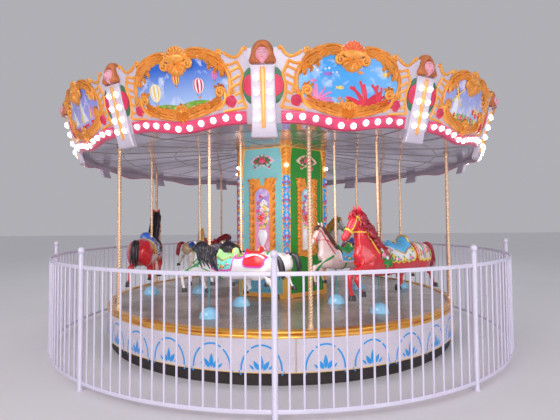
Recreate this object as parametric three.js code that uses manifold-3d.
import * as THREE from 'three';
import { mergeVertices } from 'three/addons/utils/BufferGeometryUtils.js';
import Module from 'manifold-3d';

const wasm = await Module();
wasm.setup();

// A small twelve-seat carousel with a ring fence round it. Millimetres, +Z up.
// The origin is on the floor, on the axis the platform turns about. An angle is counted
// about +Z from the front (-Y) side, so each piece is made at the front and then turned.

// Running gap between pieces that touch, and between a rod and its guide
const SEAT_GAP = 0.3;
const ROD_GAP = 0.6;
const DEGREE = Math.PI / 180;

// Platform
const PLATFORM_RADIUS = 2600;
const PLATFORM_SIDES = 48;
const PLINTH_RADIUS = 2550;
const PLINTH_HEIGHT = 125;
const SKIRT_BOTTOM = 138;
const SKIRT_TOP = 478;
const SKIRT_THICKNESS = 25;
const SKIRT_PANELS = 6;
const SKIRT_PHASE = 3.3;
const RIM_TOP = 549;
const RIM_OUTER_RADIUS = 2588;
const RIM_INNER_RADIUS = 2505;
const DECK_TOP = 532;
const DECK_UNDERSIDE = 440;

// Centre mast and the bearing that the platform turns on
const MAST_RADIUS = 110;
const MAST_TOP = 2880;
const MAST_SIDES = 16;
const HUB_RADIUS = 300;
const THRUST_GAP = 0.8;

// Outer posts
const POST_COUNT = 6;
const POST_PHASE = 6.8;
const POST_RING_RADIUS = 2545;
const POST_RADIUS = 25;
const POST_FOOT_RADIUS = 38;
const POST_FOOT_HEIGHT = 60;
const POST_SIDES = 8;

// Canopy: ceiling, roof and the leaning crown
const CEILING_RIM_Z = 2588;
const CEILING_RIM_RADIUS = 2500;
const CEILING_CENTRE_Z = 2768;
const CEILING_CENTRE_RADIUS = 800;
const CEILING_THICKNESS = 30;
const CROWN_BAYS = 12;
const CROWN_PHASE = -2.7;
const CROWN_FACETS = 4;
const CROWN_BASE_Z = 2415;
const CROWN_TOP_Z = 3016;
const CROWN_BASE_RADIUS = 2951;
const CROWN_TOP_RADIUS = 3123;
const PILASTER_WIDTH = 224;
const PILASTER_PROUD = 24;
const PANEL_THICKNESS = 30;
const HEAD_WIDTH = 230;
const HEAD_TALL = 228;
const HEAD_DEPTH = 170;
const HEAD_Z = 3144;
const HEAD_SETBACK = 15;

// Core
const CORE_CORNER_RADIUS = 780;
const CORE_PHASE = 7.2;
const CORE_WALL = 45;
const CORE_STRIP = 105;
const CORE_RECESS = 22;

// Horses
const ARM_COUNT = 6;
const ARM_PHASE = -24;
const OUTER_ROW_RADIUS = 2054;
const INNER_ROW_RADIUS = 1300;
const SMALL_HORSE_SCALE = 0.76;
const SMALL_HORSE_SETBACK = 100;
const HORSE_BELLY_Z = 965;
const CRANK_THROW = 100;
const ARM_LIFTS = [15, -10, -40, -20, 25, 45];
const OUTER_HEAD_HIGH = [false, true, false, true, false, true];
const INNER_HEAD_HIGH = [false, true, true, false, true, true];
const POLE_RADIUS = 19;
const ROD_RADIUS = 10;
const GUIDE_SIDES = 6;
const DOME_SIDES = 8;
const DOME_RADIUS = 117;

// Fence
const FENCE_RADIUS = 3280;
const FENCE_SECTIONS = 10;
const FENCE_PHASE = -0.9;
const FENCE_OPEN_SECTION = 4;
const FENCE_INTERVALS = 17;
const FENCE_DEPTH = 20;
const FENCE_BAR_WIDTH = 20;
const FENCE_RAIL_HEIGHT = 38;
const FENCE_TOP = 1220;
const FENCE_BOTTOM = 62;
const FENCE_POST_RADIUS = 26;
const FENCE_POST_TOP = 1330;
const FENCE_BALL_RADIUS = 36;

const carousel = new THREE.Group();

function material(color, roughness, metalness) {
  return new THREE.MeshStandardMaterial({ color, roughness, metalness });
}

const IVORY = material(0xf4f1f4, 0.35, 0.0);
const GOLD = material(0xd9992e, 0.35, 0.6);
const DARK = material(0x3a2c28, 0.7, 0.1);
const PLATE = material(0x8d8078, 0.45, 0.7);
const MIRROR = material(0xa9a4a0, 0.15, 0.9);
const GREEN = material(0x2f8c45, 0.5, 0.0);
const TEAL = material(0x7fb8b8, 0.5, 0.0);
const WHITE_PAINT = material(0xf3f3f8, 0.4, 0.1);
const ROPE_GOLD = material(0xd8a27c, 0.35, 0.6);
const HORSE_COATS = [
  material(0xf2eeee, 0.3, 0.0),
  material(0xc41e2e, 0.3, 0.0),
  material(0xe8d8b8, 0.3, 0.0),
];

// Closed geometry helpers

function weld(geometry) {
  const bare = geometry.index ? geometry.toNonIndexed() : geometry.clone();
  bare.deleteAttribute('normal');
  bare.deleteAttribute('uv');
  return mergeVertices(bare, 1e-4);
}

function solid(geometry) {
  const welded = weld(geometry);
  return new wasm.Manifold(new wasm.Mesh({
    numProp: 3,
    vertProperties: new Float32Array(welded.attributes.position.array),
    triVerts: new Uint32Array(welded.index.array),
  }));
}

function geometryOf(manifold) {
  const mesh = manifold.getMesh();
  const geometry = new THREE.BufferGeometry();
  geometry.setAttribute('position', new THREE.BufferAttribute(new Float32Array(mesh.vertProperties), 3));
  geometry.setIndex(new THREE.BufferAttribute(new Uint32Array(mesh.triVerts), 1));
  return geometry;
}

function join(geometries) {
  return geometryOf(geometries.map(solid).reduce((sum, next) => sum.add(next)));
}

function polygonPoints(count, radius, phaseDegrees = 0) {
  const points = [];
  for (let i = 0; i < count; i += 1) {
    const angle = (phaseDegrees + (360 * i) / count) * DEGREE;
    points.push(new THREE.Vector2(radius * Math.sin(angle), -radius * Math.cos(angle)));
  }
  return points;
}

function upright(outline, bottom, top, holes = []) {
  const shape = new THREE.Shape(outline);
  holes.forEach((hole) => shape.holes.push(new THREE.Path(hole)));
  const geometry = new THREE.ExtrudeGeometry(shape, { depth: top - bottom, bevelEnabled: false, curveSegments: 1 });
  return geometry.translate(0, 0, bottom);
}

// A solid of revolution about +Z, from points [radius, z] that run counter-clockwise
function turned(profile, sides, phaseDegrees = 0) {
  const points = profile.map(([radius, z]) => new THREE.Vector2(radius, z));
  const geometry = new THREE.LatheGeometry(points, sides);
  geometry.rotateX(Math.PI / 2);
  return geometry.rotateZ(phaseDegrees * DEGREE);
}

function addMesh(name, geometry, look, turnDegrees = 0) {
  const mesh = new THREE.Mesh(geometry, look);
  mesh.name = name;
  mesh.rotation.z = turnDegrees * DEGREE;
  carousel.add(mesh);
  return mesh;
}

function spot(radius, degrees) {
  return new THREE.Vector2(radius * Math.sin(degrees * DEGREE), -radius * Math.cos(degrees * DEGREE));
}

// The outline of a pole, rod or guide on the axis of one horse
function guideCircle(place, radius) {
  const centre = spot(place.radius, place.degrees);
  return polygonPoints(GUIDE_SIDES, radius, place.degrees).map((p) => p.add(centre));
}

// Places of the horses. Every second arm has a small horse in its outer row too, a little
// further back on its pole.

const horsePlaces = [];
for (let arm = 0; arm < ARM_COUNT; arm += 1) {
  const degrees = ARM_PHASE + (360 * arm) / ARM_COUNT;
  horsePlaces.push({
    row: 'outer',
    arm,
    degrees,
    radius: OUTER_ROW_RADIUS,
    scale: arm % 2 === 0 ? SMALL_HORSE_SCALE : 1,
    setback: arm % 2 === 0 ? SMALL_HORSE_SETBACK : 0,
    lift: ARM_LIFTS[arm],
    headHigh: OUTER_HEAD_HIGH[arm],
  });
  horsePlaces.push({
    row: 'inner',
    arm,
    degrees,
    radius: INNER_ROW_RADIUS,
    scale: SMALL_HORSE_SCALE,
    setback: 0,
    lift: -ARM_LIFTS[arm],
    headHigh: INNER_HEAD_HIGH[arm],
  });
}

// Base and platform

function addBase() {
  addMesh('base_plinth', upright(polygonPoints(PLATFORM_SIDES, PLINTH_RADIUS), 0, PLINTH_HEIGHT), DARK);
  const mast = upright(polygonPoints(MAST_SIDES, MAST_RADIUS), PLINTH_HEIGHT + SEAT_GAP, MAST_TOP);
  addMesh('centre_mast', mast, DARK);
}

function domeAt(place) {
  const low = 25 * DEGREE;
  const high = 58 * DEGREE;
  const profile = [
    [0, DECK_TOP - 20],
    [DOME_RADIUS, DECK_TOP - 20],
    [DOME_RADIUS, DECK_TOP + 10],
    [DOME_RADIUS * Math.cos(low), DECK_TOP + DOME_RADIUS * Math.sin(low)],
    [DOME_RADIUS * Math.cos(high), DECK_TOP + DOME_RADIUS * Math.sin(high)],
    [0, DECK_TOP + DOME_RADIUS],
  ];
  const centre = spot(place.radius, place.degrees);
  return turned(profile, DOME_SIDES, place.degrees).translate(centre.x, centre.y, 0);
}

function addDeck() {
  const hubBottom = PLINTH_HEIGHT + THRUST_GAP;
  const bore = (MAST_RADIUS + THRUST_GAP) / Math.cos(Math.PI / PLATFORM_SIDES);
  const innerRim = RIM_INNER_RADIUS - SEAT_GAP;
  const skirtInner = PLATFORM_RADIUS - SKIRT_THICKNESS - SEAT_GAP;
  const profile = [
    [bore, hubBottom],
    [HUB_RADIUS, hubBottom],
    [HUB_RADIUS, DECK_UNDERSIDE],
    [skirtInner, DECK_UNDERSIDE],
    [skirtInner, SKIRT_TOP],
    [innerRim, SKIRT_TOP],
    [innerRim, DECK_TOP],
    [bore, DECK_TOP],
    [bore, hubBottom],
  ];
  const slab = solid(turned(profile, PLATFORM_SIDES, SKIRT_PHASE));
  const domed = horsePlaces.reduce((sum, place) => sum.add(solid(domeAt(place))), slab);
  const bored = horsePlaces.reduce((rest, place) => {
    const well = guideCircle(place, ROD_RADIUS + ROD_GAP);
    return rest.subtract(solid(upright(well, DECK_UNDERSIDE - 10, DECK_TOP + DOME_RADIUS + 10)));
  }, domed);
  addMesh('deck', geometryOf(bored), PLATE);
}

function addRim() {
  const profile = [
    [RIM_INNER_RADIUS, SKIRT_TOP + SEAT_GAP],
    [PLATFORM_RADIUS, SKIRT_TOP + SEAT_GAP],
    [RIM_OUTER_RADIUS, RIM_TOP],
    [RIM_INNER_RADIUS, RIM_TOP],
    [RIM_INNER_RADIUS, SKIRT_TOP + SEAT_GAP],
  ];
  addMesh('rim_trim', turned(profile, PLATFORM_SIDES, SKIRT_PHASE), GOLD);
}

function addSkirt() {
  const span = 360 / SKIRT_PANELS;
  const steps = PLATFORM_SIDES / SKIRT_PANELS;
  const inner = PLATFORM_RADIUS - SKIRT_THICKNESS;
  for (let panel = 0; panel < SKIRT_PANELS; panel += 1) {
    const gapDegrees = SEAT_GAP / 2 / PLATFORM_RADIUS / DEGREE;
    const start = gapDegrees;
    const end = span - gapDegrees;
    const outside = [];
    const inside = [];
    for (let i = 0; i <= steps; i += 1) {
      const degrees = start + ((end - start) * i) / steps;
      outside.push(spot(PLATFORM_RADIUS, degrees));
      inside.unshift(spot(inner, degrees));
    }
    const geometry = upright([...outside, ...inside], SKIRT_BOTTOM, SKIRT_TOP);
    addMesh(`skirt_panel_${panel + 1}`, geometry, IVORY, SKIRT_PHASE + span * panel);
  }
}

function addPosts() {
  const top = CEILING_RIM_Z - SEAT_GAP;
  const foot = RIM_TOP + SEAT_GAP;
  for (let post = 0; post < POST_COUNT; post += 1) {
    const profile = [
      [0, foot],
      [POST_FOOT_RADIUS, foot],
      [POST_RADIUS, foot + POST_FOOT_HEIGHT],
      [POST_RADIUS, top - POST_FOOT_HEIGHT],
      [POST_FOOT_RADIUS, top],
      [0, top],
    ];
    const geometry = turned(profile, POST_SIDES).translate(0, -POST_RING_RADIUS, 0);
    addMesh(`post_${post + 1}`, geometry, ROPE_GOLD, POST_PHASE + (360 * post) / POST_COUNT);
  }
}

// Core

function hexagonPoint(corner, along, inset) {
  const angle = (CORE_PHASE + 60 * corner) * DEGREE;
  const faceAngle = angle + 30 * DEGREE;
  const cornerPoint = new THREE.Vector2(CORE_CORNER_RADIUS * Math.sin(angle), -CORE_CORNER_RADIUS * Math.cos(angle));
  const direction = new THREE.Vector2(Math.cos(faceAngle), Math.sin(faceAngle));
  const inward = new THREE.Vector2(-Math.sin(faceAngle), Math.cos(faceAngle));
  return cornerPoint.addScaledVector(direction, along).addScaledVector(inward, inset);
}

function addCore() {
  const outline = [];
  for (let face = 0; face < 6; face += 1) {
    outline.push(hexagonPoint(face, 0, 0));
    outline.push(hexagonPoint(face, CORE_STRIP, 0));
    outline.push(hexagonPoint(face, CORE_STRIP, CORE_RECESS));
    outline.push(hexagonPoint(face, CORE_CORNER_RADIUS - CORE_STRIP, CORE_RECESS));
    outline.push(hexagonPoint(face, CORE_CORNER_RADIUS - CORE_STRIP, 0));
  }
  const bottom = DECK_TOP + SEAT_GAP;
  const top = CEILING_CENTRE_Z - SEAT_GAP;
  const hollow = polygonPoints(6, CORE_CORNER_RADIUS - CORE_RECESS - CORE_WALL, CORE_PHASE);
  addMesh('core_frame', upright(outline, bottom, top, [hollow]), GOLD);
  for (let face = 0; face < 6; face += 1) {
    const near = CORE_STRIP + SEAT_GAP;
    const far = CORE_CORNER_RADIUS - CORE_STRIP - SEAT_GAP;
    const board = [
      hexagonPoint(face, near, 4),
      hexagonPoint(face, far, 4),
      hexagonPoint(face, far, CORE_RECESS - SEAT_GAP),
      hexagonPoint(face, near, CORE_RECESS - SEAT_GAP),
    ];
    addMesh(`core_panel_${face + 1}`, upright(board, bottom, top), face % 2 ? TEAL : GREEN);
  }
}

// Canopy

const CROWN_SLOPE = (CROWN_TOP_RADIUS - CROWN_BASE_RADIUS) / (CROWN_TOP_Z - CROWN_BASE_Z);
const PANEL_BACK_SETBACK = PILASTER_PROUD + PANEL_THICKNESS;
const FACET = 360 / CROWN_BAYS / CROWN_FACETS;

// Radius of the crown's faceted surface at a height and an angle from a bay's first corner
function crownRadius(z, degrees, setback) {
  const cornerRadius = CROWN_BASE_RADIUS - setback + CROWN_SLOPE * (z - CROWN_BASE_Z);
  const intoFacet = ((degrees % FACET) + FACET) % FACET;
  const fromMiddle = intoFacet - FACET / 2;
  return (cornerRadius * Math.cos((FACET / 2) * DEGREE)) / Math.cos(fromMiddle * DEGREE);
}

function crownPoint(z, degrees, setback) {
  const radius = crownRadius(z, degrees, setback);
  return [radius * Math.sin(degrees * DEGREE), -radius * Math.cos(degrees * DEGREE), z];
}

// A closed plate on the crown's surface, from columns {degrees, bottom, top}
function crownPlate(columns, frontSetback, backSetback) {
  const positions = [];
  columns.forEach(({ degrees, bottom, top }) => {
    positions.push(...crownPoint(bottom, degrees, frontSetback), ...crownPoint(top, degrees, frontSetback));
    positions.push(...crownPoint(bottom, degrees, backSetback), ...crownPoint(top, degrees, backSetback));
  });
  const index = [];
  const quad = (a, b, c, d) => index.push(a, b, c, a, c, d);
  for (let i = 0; i + 1 < columns.length; i += 1) {
    const a = 4 * i;
    const b = a + 4;
    quad(a, b, b + 1, a + 1);
    quad(a + 2, a + 3, b + 3, b + 2);
    quad(a, a + 2, b + 2, b);
    quad(a + 1, b + 1, b + 3, a + 3);
  }
  const last = 4 * (columns.length - 1);
  quad(0, 1, 3, 2);
  quad(last, last + 2, last + 3, last + 1);
  const geometry = new THREE.BufferGeometry();
  geometry.setAttribute('position', new THREE.Float32BufferAttribute(positions, 3));
  geometry.setIndex(index);
  return geometry;
}

// Half outline of a crown panel: share of the half width, lower edge and upper edge
const PANEL_OUTLINE = [
  [0.0, 2480, 3254],
  [0.12, 2486, 3214],
  [0.46, 2522, 3194],
  [0.655, 2538, 3168],
  [0.79, 2538, 3116],
  [0.92, 2538, 3160],
  [1.0, 2538, 3176],
];

function panelColumns() {
  const bay = 360 / CROWN_BAYS;
  const backRadius = crownRadius(CROWN_BASE_Z, FACET / 2, PANEL_BACK_SETBACK);
  const endGap = Math.asin((PILASTER_WIDTH / 2 + SEAT_GAP) / backRadius) / DEGREE;
  const first = endGap * 0.6;
  const last = bay - endGap;
  const middle = bay / 2;
  const columns = [];
  for (let i = PANEL_OUTLINE.length - 1; i > 0; i -= 1) {
    const [share, bottom, top] = PANEL_OUTLINE[i];
    columns.push({ degrees: middle - share * (middle - first), bottom, top });
  }
  PANEL_OUTLINE.forEach(([share, bottom, top]) => {
    columns.push({ degrees: middle + share * (last - middle), bottom, top });
  });
  return withFacetCorners(columns);
}

// Adds the facet corners that fall between the outline's own columns
function withFacetCorners(columns) {
  const full = [columns[0]];
  for (let i = 1; i < columns.length; i += 1) {
    const before = columns[i - 1];
    const after = columns[i];
    for (let corner = Math.ceil(before.degrees / FACET) * FACET; corner < after.degrees; corner += FACET) {
      const share = (corner - before.degrees) / (after.degrees - before.degrees);
      if (share > 0.02 && share < 0.98) {
        full.push({
          degrees: corner,
          bottom: before.bottom + share * (after.bottom - before.bottom),
          top: before.top + share * (after.top - before.top),
        });
      }
    }
    full.push(after);
  }
  return full;
}

function pilaster() {
  const half = PILASTER_WIDTH / 2;
  const box = (z, front, back) => {
    const frontRadius = CROWN_BASE_RADIUS + CROWN_SLOPE * (z - CROWN_BASE_Z);
    return [
      [-half, -frontRadius + front, z],
      [half, -frontRadius + front, z],
      [half, -frontRadius + back, z],
      [-half, -frontRadius + back, z],
    ];
  };
  return stack([
    box(CROWN_BASE_Z, 22, PANEL_BACK_SETBACK - SEAT_GAP),
    box(CROWN_BASE_Z + 40, 0, PANEL_BACK_SETBACK - SEAT_GAP),
    box(CROWN_TOP_Z, 0, PANEL_BACK_SETBACK - SEAT_GAP),
    box(CROWN_TOP_Z + 55, 35, PANEL_BACK_SETBACK - SEAT_GAP),
  ]);
}

// A closed solid through rings of equal point counts, each counter-clockwise seen from above
function stack(rings) {
  const count = rings[0].length;
  const positions = rings.flat(2);
  const index = [];
  for (let level = 0; level + 1 < rings.length; level += 1) {
    for (let i = 0; i < count; i += 1) {
      const a = level * count + i;
      const b = level * count + ((i + 1) % count);
      index.push(a, b, b + count, a, b + count, a + count);
    }
  }
  const top = (rings.length - 1) * count;
  for (let i = 1; i + 1 < count; i += 1) {
    index.push(0, i + 1, i);
    index.push(top, top + i, top + i + 1);
  }
  const geometry = new THREE.BufferGeometry();
  geometry.setAttribute('position', new THREE.Float32BufferAttribute(positions, 3));
  geometry.setIndex(index);
  return geometry;
}

function headMask() {
  const head = new THREE.SphereGeometry(1, 6, 4);
  head.rotateX(Math.PI / 2);
  head.scale(HEAD_WIDTH / 2, HEAD_DEPTH / 2, HEAD_TALL / 2);
  return head.translate(0, -(CROWN_TOP_RADIUS - HEAD_SETBACK), HEAD_Z);
}

function addCrown() {
  for (let bay = 0; bay < CROWN_BAYS; bay += 1) {
    const panel = crownPlate(panelColumns(), PILASTER_PROUD, PANEL_BACK_SETBACK);
    const geometry = join([panel, pilaster(), headMask()]);
    addMesh(`crown_bay_${bay + 1}`, geometry, IVORY, CROWN_PHASE + (360 * bay) / CROWN_BAYS);
  }
}

// Height of the ceiling's underside: level over the core, falling outwards to a level rim
function ceilingUnderside(radius) {
  const share = (radius - CEILING_CENTRE_RADIUS) / (CEILING_RIM_RADIUS - CEILING_CENTRE_RADIUS);
  return CEILING_CENTRE_Z + (CEILING_RIM_Z - CEILING_CENTRE_Z) * Math.min(1, Math.max(0, share));
}

function addCeiling() {
  const sides = CROWN_BAYS * CROWN_FACETS;
  const rim = (z) => CROWN_BASE_RADIUS - PANEL_BACK_SETBACK - SEAT_GAP * 2 + CROWN_SLOPE * (z - CROWN_BASE_Z);
  const rimTop = CEILING_RIM_Z + CEILING_THICKNESS;
  const centreTop = CEILING_CENTRE_Z + CEILING_THICKNESS;
  const bore = (MAST_RADIUS + THRUST_GAP) / Math.cos(Math.PI / MAST_SIDES);
  const profile = [
    [0, CEILING_CENTRE_Z],
    [CEILING_CENTRE_RADIUS, CEILING_CENTRE_Z],
    [CEILING_RIM_RADIUS, CEILING_RIM_Z],
    [rim(CEILING_RIM_Z), CEILING_RIM_Z],
    [rim(rimTop), rimTop],
    [CEILING_RIM_RADIUS, rimTop],
    [CEILING_CENTRE_RADIUS, centreTop],
    [0, centreTop],
  ];
  const plate = solid(turned(profile, sides, CROWN_PHASE));
  const holes = horsePlaces.map((place) => guideCircle(place, POLE_RADIUS + ROD_GAP));
  holes.push(polygonPoints(MAST_SIDES, bore));
  const drilled = holes.reduce(
    (rest, hole) => rest.subtract(solid(upright(hole, CEILING_RIM_Z - 10, centreTop + 10))),
    plate,
  );
  addMesh('ceiling', geometryOf(drilled), MIRROR);
}

function addRoof() {
  const curb = CEILING_RIM_Z + CEILING_THICKNESS + SEAT_GAP;
  const profile = [
    [2850, curb],
    [2872, curb],
    [2885, 2800],
    [150, 3225],
    [120, 3255],
    [0, 3262],
    [0, 3235],
    [100, 3205],
    [2850, 2778],
    [2850, curb],
  ];
  addMesh('roof', turned(profile, CROWN_BAYS, CROWN_PHASE), WHITE_PAINT);
}

// Horses

// A closed body through oval sections in the horse's plane of symmetry. Each section is
// [x, z, half height, half width, tilt in degrees]; a tilt of 0 has its normal along +X.
function body(sections, sides, offsetY = 0) {
  const rings = sections.map(([x, z, halfHeight, halfWidth, tilt]) => {
    const ring = [];
    for (let i = 0; i < sides; i += 1) {
      const angle = (2 * Math.PI * (i + 0.5)) / sides;
      const up = Math.cos(angle) * halfHeight;
      const across = Math.sin(angle) * halfWidth;
      ring.push([x - up * Math.sin(tilt * DEGREE), offsetY + across, z + up * Math.cos(tilt * DEGREE)]);
    }
    return ring;
  });
  return outward(stack(rings));
}

// Turns the faces of a closed solid outwards
function outward(geometry) {
  const index = geometry.index.array;
  const p = geometry.attributes.position.array;
  let volume = 0;
  for (let i = 0; i < index.length; i += 3) {
    const [a, b, c] = [index[i] * 3, index[i + 1] * 3, index[i + 2] * 3];
    volume += p[a] * (p[b + 1] * p[c + 2] - p[b + 2] * p[c + 1]);
    volume += p[a + 1] * (p[b + 2] * p[c] - p[b] * p[c + 2]);
    volume += p[a + 2] * (p[b] * p[c + 1] - p[b + 1] * p[c]);
  }
  if (volume < 0) {
    for (let i = 0; i < index.length; i += 3) {
      [index[i + 1], index[i + 2]] = [index[i + 2], index[i + 1]];
    }
  }
  return geometry;
}

const TORSO = [
  [-930, 205, 110, 92, 0],
  [-680, 215, 198, 165, 0],
  [-250, 192, 178, 158, 0],
  [150, 212, 192, 140, -10],
  [355, 258, 95, 75, -35],
];
// Neck and head, held high or tucked down
const HIGH_NECK = [
  [165, 290, 185, 92, 52],
  [325, 550, 150, 72, 35],
  [395, 740, 85, 52, 5],
];
const HIGH_HEAD = [
  [335, 722, 84, 55, -30],
  [460, 635, 80, 60, -40],
  [580, 500, 46, 42, -50],
];
const LOW_NECK = [
  [120, 270, 180, 95, 40],
  [245, 400, 140, 72, 15],
  [335, 430, 85, 56, -30],
];
const LOW_HEAD = [
  [285, 445, 90, 58, -60],
  [385, 300, 74, 60, -72],
  [425, 130, 45, 42, -80],
];
const TAIL = [
  [-880, 310, 60, 50, 20],
  [-1015, 305, 62, 50, -30],
  [-1110, 90, 40, 34, -85],
];
// Legs, from the body down to the hoof
const FRONT_LEG_FORWARD = [
  [230, 130, 85, 65, 10],
  [560, 105, 50, 42, 55],
  [575, -60, 34, 32, 95],
  [545, -215, 46, 40, 95],
];
const FRONT_LEG_BACK = [
  [230, 110, 85, 65, 40],
  [300, -20, 50, 42, 88],
  [255, -130, 34, 32, 110],
  [215, -225, 42, 38, 98],
];
const HIND_LEG_FORWARD = [
  [-640, 120, 120, 75, 90],
  [-500, -20, 60, 48, 80],
  [-540, -115, 38, 34, 100],
  [-470, -205, 42, 38, 80],
];
const HIND_LEG_BACK = [
  [-760, 140, 120, 75, 110],
  [-930, 20, 58, 46, 130],
  [-985, -100, 36, 34, 110],
  [-1040, -205, 44, 38, 100],
];

function legs() {
  return [
    body(FRONT_LEG_FORWARD, 4, 75),
    body(FRONT_LEG_BACK, 4, -75),
    body(HIND_LEG_BACK, 4, 80),
    body(HIND_LEG_FORWARD, 4, -80),
  ];
}

function horseGeometry({ radius, scale, setback, lift, headHigh }) {
  const animal = [
    body(TORSO, 6),
    body(headHigh ? HIGH_NECK : LOW_NECK, 6),
    body(headHigh ? HIGH_HEAD : LOW_HEAD, 6),
    body(TAIL, 4),
    ...legs(),
  ];
  animal.forEach((piece) => piece.scale(scale, scale, scale).translate(-setback, 0, HORSE_BELLY_Z + lift));
  const ceilingTop = ceilingUnderside(radius) + CEILING_THICKNESS;
  const poleTop = ceilingTop + CRANK_THROW + 10 + lift;
  const poleFoot = HORSE_BELLY_Z + lift + 150 * scale;
  const rodFoot = DECK_TOP + DOME_RADIUS - CRANK_THROW - 15 + lift;
  const pole = upright(polygonPoints(GUIDE_SIDES, POLE_RADIUS), poleFoot, poleTop);
  const rod = upright(polygonPoints(GUIDE_SIDES, ROD_RADIUS), rodFoot, poleFoot + 20);
  return join([...animal, pole, rod]);
}

// A horse faces clockwise seen from above, and its row's radius passes through its pole
function addHorses() {
  horsePlaces.forEach((place, index) => {
    const geometry = horseGeometry(place);
    geometry.rotateZ(Math.PI);
    geometry.translate(0, -place.radius, 0);
    const coat = HORSE_COATS[index % HORSE_COATS.length];
    addMesh(`horse_${place.row}_${place.arm + 1}`, geometry, coat, place.degrees);
  });
}

// Fence

// Breaks along a section where a bar or a gap between bars begins
function fenceBreaks(arc, closed) {
  const end = arc * FENCE_RADIUS - (closed ? 0 : FENCE_POST_RADIUS + SEAT_GAP);
  const pitch = (arc * FENCE_RADIUS) / FENCE_INTERVALS;
  const breaks = [0, FENCE_BAR_WIDTH / 2];
  for (let i = 1; i < FENCE_INTERVALS; i += 1) {
    breaks.push(i * pitch - FENCE_BAR_WIDTH / 2, i * pitch + FENCE_BAR_WIDTH / 2);
  }
  breaks.push(end - FENCE_BAR_WIDTH / 2, end);
  return breaks;
}

// Two rails and their bars as one closed lattice, bent onto the fence's circle
function fenceLattice(arc, closed) {
  const along = fenceBreaks(arc, closed);
  const heights = [FENCE_BOTTOM, FENCE_BOTTOM + FENCE_RAIL_HEIGHT, FENCE_TOP - FENCE_RAIL_HEIGHT, FENCE_TOP];
  const rows = heights.length;
  const positions = [];
  along.forEach((u) => heights.forEach((z) => {
    [FENCE_RADIUS + FENCE_DEPTH / 2, FENCE_RADIUS - FENCE_DEPTH / 2].forEach((radius) => {
      const angle = u / FENCE_RADIUS;
      positions.push(radius * Math.sin(angle), -radius * Math.cos(angle), z);
    });
  }));
  const vertex = (column, row, back) => 2 * (column * rows + row) + back;
  const filled = (column, row) => {
    const inside = column >= 0 && column + 1 < along.length && row >= 0 && row + 1 < rows;
    return inside && (row !== 1 || column % 2 === 0);
  };
  const index = [];
  const quad = (a, b, c, d) => index.push(a, b, c, a, c, d);
  for (let column = 0; column + 1 < along.length; column += 1) {
    for (let row = 0; row + 1 < rows; row += 1) {
      if (!filled(column, row)) {
        continue;
      }
      const front = [
        vertex(column, row, 0), vertex(column + 1, row, 0),
        vertex(column + 1, row + 1, 0), vertex(column, row + 1, 0),
      ];
      const back = front.map((corner) => corner + 1);
      quad(...front);
      quad(back[3], back[2], back[1], back[0]);
      const sides = [[0, 1, column, row - 1], [1, 2, column + 1, row], [2, 3, column, row + 1], [3, 0, column - 1, row]];
      sides.forEach(([from, to, nextColumn, nextRow]) => {
        if (!filled(nextColumn, nextRow)) {
          quad(front[to], front[from], back[from], back[to]);
        }
      });
    }
  }
  const geometry = new THREE.BufferGeometry();
  geometry.setAttribute('position', new THREE.Float32BufferAttribute(positions, 3));
  geometry.setIndex(index);
  return geometry;
}

function fencePost(degrees) {
  const profile = [
    [0, 0],
    [FENCE_POST_RADIUS, 0],
    [FENCE_POST_RADIUS, FENCE_POST_TOP],
    [FENCE_BALL_RADIUS, FENCE_POST_TOP + FENCE_BALL_RADIUS],
    [FENCE_BALL_RADIUS * 0.6, FENCE_POST_TOP + FENCE_BALL_RADIUS * 1.8],
    [0, FENCE_POST_TOP + FENCE_BALL_RADIUS * 2],
  ];
  const centre = spot(FENCE_RADIUS, degrees);
  return turned(profile, POST_SIDES, degrees).translate(centre.x, centre.y, 0);
}

function addFence() {
  const span = 360 / FENCE_SECTIONS;
  let bay = 0;
  for (let section = 0; section < FENCE_SECTIONS; section += 1) {
    if (section === FENCE_OPEN_SECTION) {
      continue;
    }
    bay += 1;
    const closed = section + 1 === FENCE_OPEN_SECTION;
    const pieces = [fenceLattice(span * DEGREE, closed), fencePost(0)];
    if (closed) {
      pieces.push(fencePost(span));
    }
    addMesh(`fence_bay_${bay}`, join(pieces), WHITE_PAINT, FENCE_PHASE + span * section);
  }
}

addBase();
addDeck();
addRim();
addSkirt();
addPosts();
addCore();
addCeiling();
addRoof();
addCrown();
addHorses();
addFence();

export default carousel;
